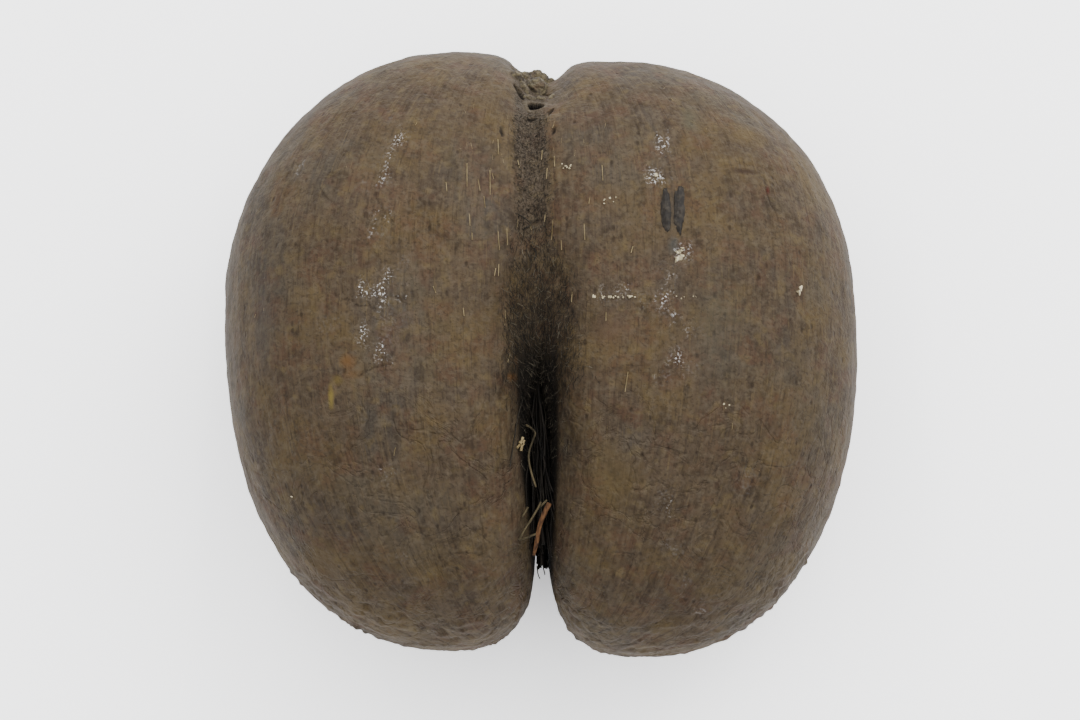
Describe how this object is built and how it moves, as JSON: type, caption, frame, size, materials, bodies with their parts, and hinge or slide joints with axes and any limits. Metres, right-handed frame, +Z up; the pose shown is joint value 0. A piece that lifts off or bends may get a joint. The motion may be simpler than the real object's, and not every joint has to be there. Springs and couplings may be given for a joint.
{
  "type": "coco de mer nut",
  "caption": "Double-lobed woody palm nut, deeply cleft between its lobes, with a stalk scar at the joined end and dry husk fibres in the cleft.",
  "frame": {"origin": "on the surface the nut lies on, under the middle of its box", "axes": "+Z up, out of the front face; +Y along the nut from the lobe tips to the stalk end; +X across the two lobes"},
  "size_m": [0.289, 0.2806, 0.1722],
  "materials": {
    "shell": "dry matte shell with a faint sheen",
    "fibre": "dull dry fibre",
    "husk": "dry split husk"
  },
  "bodies": {
    "root": {"nut": "shell", "cleft_fibres": "fibre", "husk_strip": "husk"}
  },
  "joints": []
}
